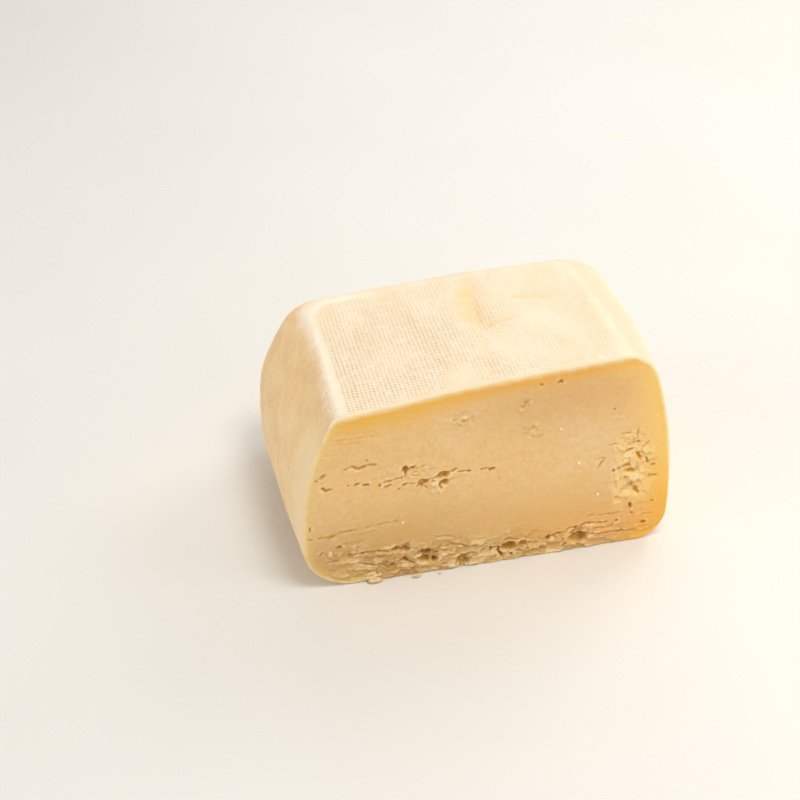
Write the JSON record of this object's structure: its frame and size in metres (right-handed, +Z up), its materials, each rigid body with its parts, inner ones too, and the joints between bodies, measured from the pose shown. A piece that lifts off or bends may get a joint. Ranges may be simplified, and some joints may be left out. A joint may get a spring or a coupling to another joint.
{
  "type": "half loaf of butterkase cheese",
  "caption": "Half of a soft-edged butter cheese loaf standing as cut, its flat cut face showing cracks, small holes and a crumbly lower band.",
  "frame": {"origin": "middle of the footprint's box, on the surface the cheese rests on", "axes": "+X along the cut, to the right when facing the cut face; +Y from the cut face back into the loaf; +Z up"},
  "size_m": [0.146, 0.0998, 0.0811],
  "materials": {
    "cheese": "moist satin paste, golden under a pale cream rind"
  },
  "bodies": {
    "root": {"half_loaf": "cheese"}
  },
  "joints": []
}
